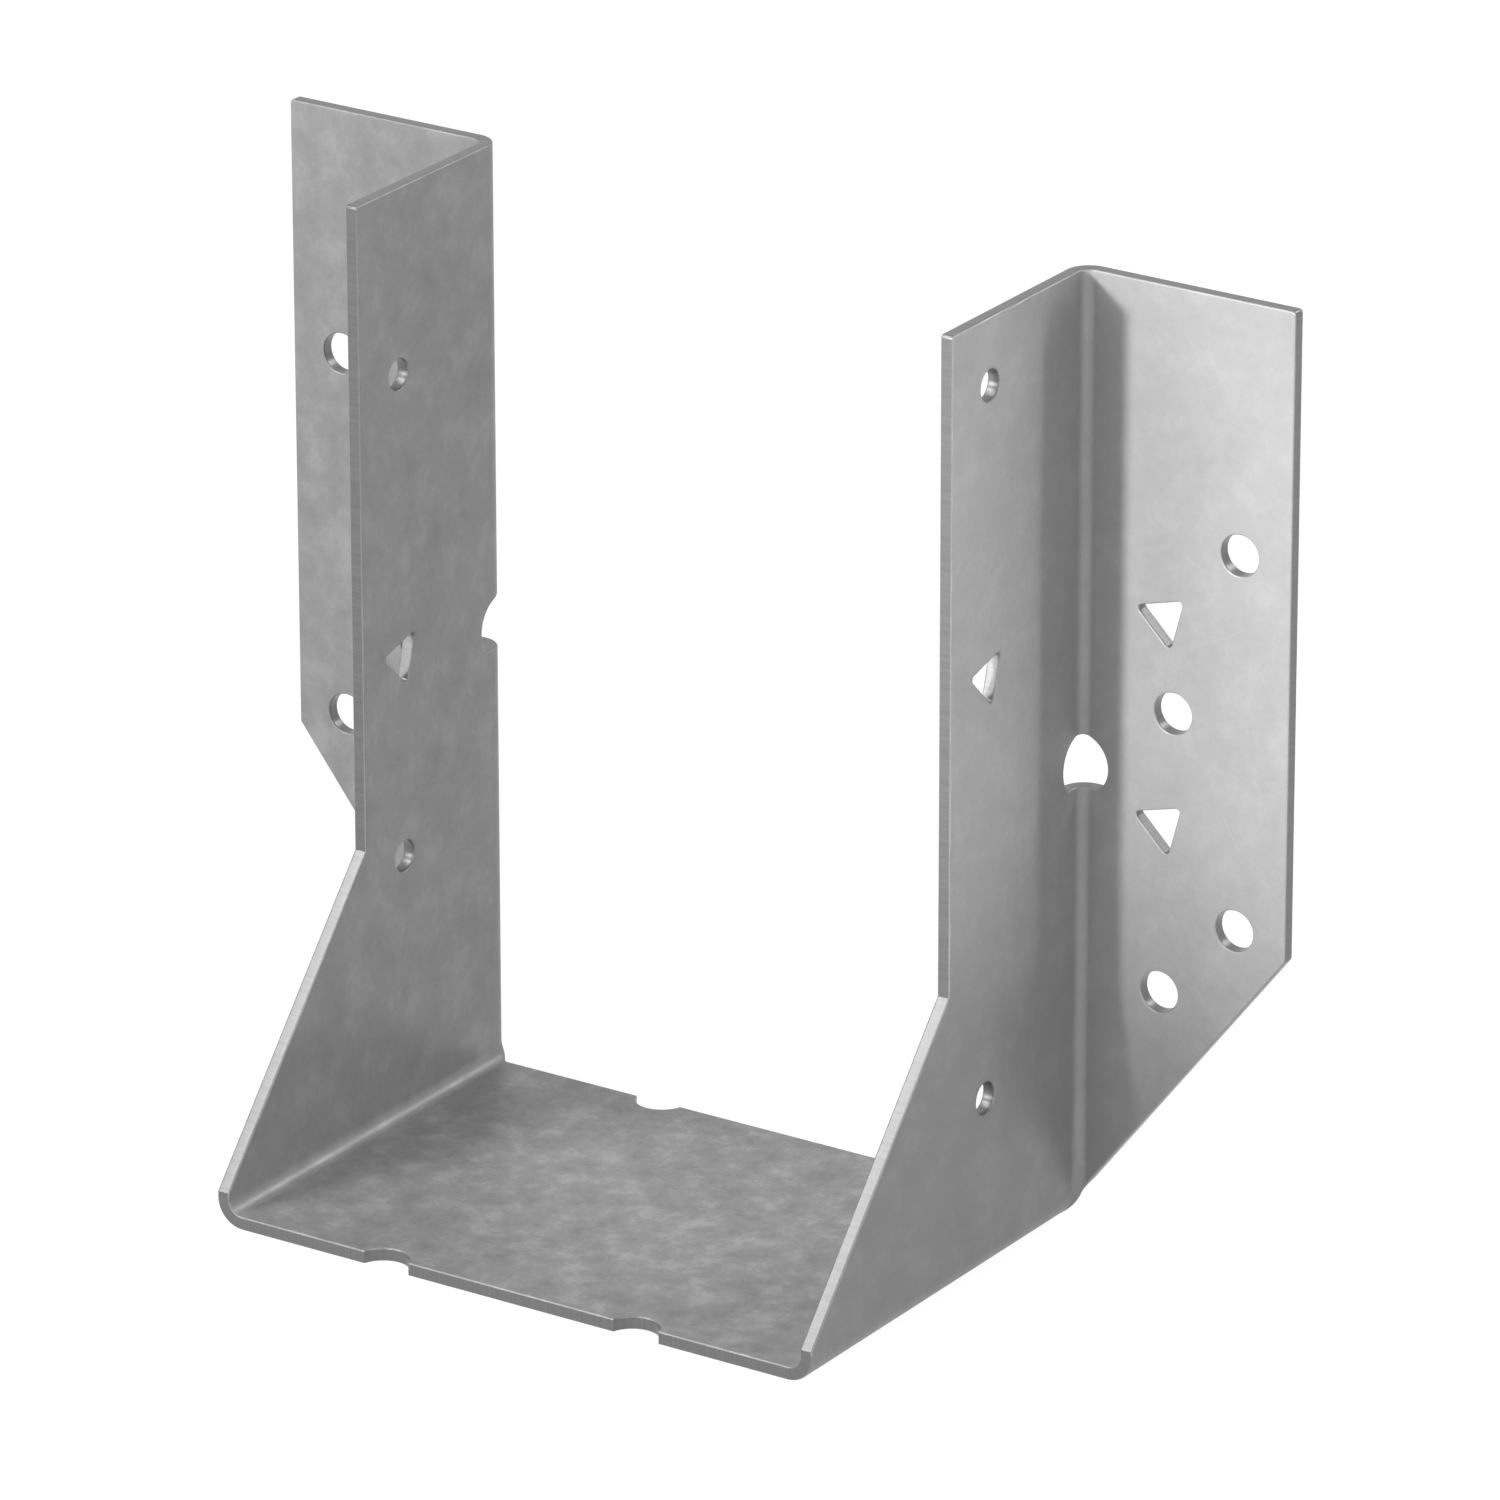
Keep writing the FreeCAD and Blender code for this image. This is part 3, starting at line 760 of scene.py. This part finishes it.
paper = bpy.data.materials.new("white_paper")
paper.use_nodes = True
paper_tree = paper.node_tree
paper_tree.nodes.clear()
output = paper_tree.nodes.new("ShaderNodeOutputMaterial")
lit = add_node(paper_tree, "ShaderNodeBsdfDiffuse", {"Color": LIT_GREY})
glow = add_node(paper_tree, "ShaderNodeEmission", {"Color": WHITE, "Strength": 0.95})
shadow = add_node(paper_tree, "ShaderNodeBsdfDiffuse", {"Color": SEEN_GREY})
seen = add_node(paper_tree, "ShaderNodeAddShader", {0: glow.outputs[0], 1: shadow.outputs[0]})
mix = add_node(paper_tree, "ShaderNodeMixShader",
               {0: seen_directly(paper_tree), 1: lit.outputs[0], 2: seen.outputs[0]})
paper_tree.links.new(mix.outputs[0], output.inputs["Surface"])
floor_mesh.materials.append(paper)
print("floor of %g m" % (2 * FLOOR_HALF))

# %% World
world = bpy.data.worlds.new("studio")
bpy.context.scene.world = world
world.use_nodes = True
world_tree = world.node_tree
world_tree.nodes.clear()
output = world_tree.nodes.new("ShaderNodeOutputWorld")
sky = add_node(world_tree, "ShaderNodeBackground",
               {"Color": WHITE, "Strength": seen_directly(world_tree)})
world_tree.links.new(sky.outputs[0], output.inputs["Surface"])
print("world nodes:", len(world_tree.nodes))

# %% [markdown]
# ## Lamps
#
# Softboxes stand in front, on both sides and behind, like studio panels, all pointed at the
# hanger's middle. Each lights mainly one of its faces, so a face's brightness is set with one
# power. Two lamps are narrow, because the light in the picture ends inside a face: a snoot
# brightens the right flange as far as the shadow of its side plate, and a small strip close
# by does the same for the front half of the right plate.

# %% Point a lamp
def aim(name, data, azimuth, elevation, distance, at):
    """Put a lamp at a distance from a point, and turn it towards that point.

    Azimuth 0 is straight in front of the hanger and 90 is on its right.
    """
    a, e = math.radians(azimuth), math.radians(elevation)
    way = Vector((math.sin(a) * math.cos(e), -math.cos(a) * math.cos(e), math.sin(e)))
    lamp = bpy.data.objects.new(name, data)
    bpy.context.collection.objects.link(lamp)
    lamp.location = Vector(at) + way * distance
    lamp.rotation_euler = way.to_track_quat("Z", "Y").to_euler()
    return lamp


# %% Softboxes
BOX_SIZE = 0.35         # metres across
BOX_DISTANCE = 0.9
MIDDLE = (0, 0, 0.07)
SOFTBOXES = (           # name, azimuth, elevation, watts, metres across
    ("front_box", 0, 12, 2.35, BOX_SIZE),
    ("front_left_box", -30, 12, 2.00, BOX_SIZE),
    ("high_front_left_box", -45, 44, 1.85, 0.33),
    ("high_left_box", -60, 65, 1.40, BOX_SIZE),
    ("right_box", 60, 12, 1.65, BOX_SIZE),
    ("side_box", 90, 12, 0.40, BOX_SIZE),
    ("back_right_box", 150, 40, 2.10, BOX_SIZE),
)
for name, azimuth, elevation, watts, size in SOFTBOXES:
    box_light = bpy.data.lights.new(name, "AREA")
    box_light.shape = "DISK"
    box_light.size = size
    box_light.energy = watts
    aim(name, box_light, azimuth, elevation, BOX_DISTANCE, MIDDLE)
print("softboxes: %d, %.2f W together" % (len(SOFTBOXES), sum(box[3] for box in SOFTBOXES)))

# %% Narrow lamps
ON_FLANGE = (0.066, 0.031, 0.1)
ON_PLATE = (0.047, 0.003, 0.102)

snoot = bpy.data.lights.new("snoot", "SPOT")
snoot.energy = 37.5
snoot.shadow_soft_size = 0.03
snoot.spot_size = math.radians(8.5)
snoot.spot_blend = 0.6
aim("snoot", snoot, -12.2, 10, 1.0, ON_FLANGE)

strip = bpy.data.lights.new("grid_strip", "AREA")
strip.shape = "RECTANGLE"
strip.size = 0.02
strip.size_y = 0.112
strip.spread = math.radians(9)
strip.energy = 0.0063
aim("grid_strip", strip, 110.4, 6, 0.33, ON_PLATE)
print("narrow lamps:", snoot.name, strip.name)

# %% [markdown]
# ## Camera
#
# The camera was found by fitting the hanger's corners to their places in the picture. It
# stands on the hanger's right, a little above it and well over a metre away, with a long
# lens. The lens is written as the distance to the film in pixels of the square picture.

# %% Camera
AZIMUTH, ELEVATION = math.radians(33.423), math.radians(21.604)
TILT = math.radians(-0.076)
CAMERA_PLACE = (0.78279, -1.16212, 0.62184)
LENS_PIXELS, PICTURE_PIXELS = 11508.9, 1500
SENSOR_MM = 36

back = Vector((math.sin(AZIMUTH) * math.cos(ELEVATION), -math.cos(AZIMUTH) * math.cos(ELEVATION),
               math.sin(ELEVATION)))
right = Vector((math.cos(AZIMUTH), math.sin(AZIMUTH), 0))
camera_data = bpy.data.cameras.new("camera")
camera_data.sensor_width = SENSOR_MM
camera_data.lens = SENSOR_MM * LENS_PIXELS / PICTURE_PIXELS
camera_data.clip_end = 50
camera = bpy.data.objects.new("camera", camera_data)
bpy.context.collection.objects.link(camera)
turned = Matrix((right, back.cross(right), back)).transposed().to_4x4()
camera.matrix_world = (Matrix.Translation(CAMERA_PLACE) @ turned
                       @ Matrix.Rotation(TILT, 4, "Z"))
bpy.context.scene.camera = camera
bpy.context.scene.view_settings.view_transform = "Standard"
print("lens %.0f mm" % camera_data.lens)
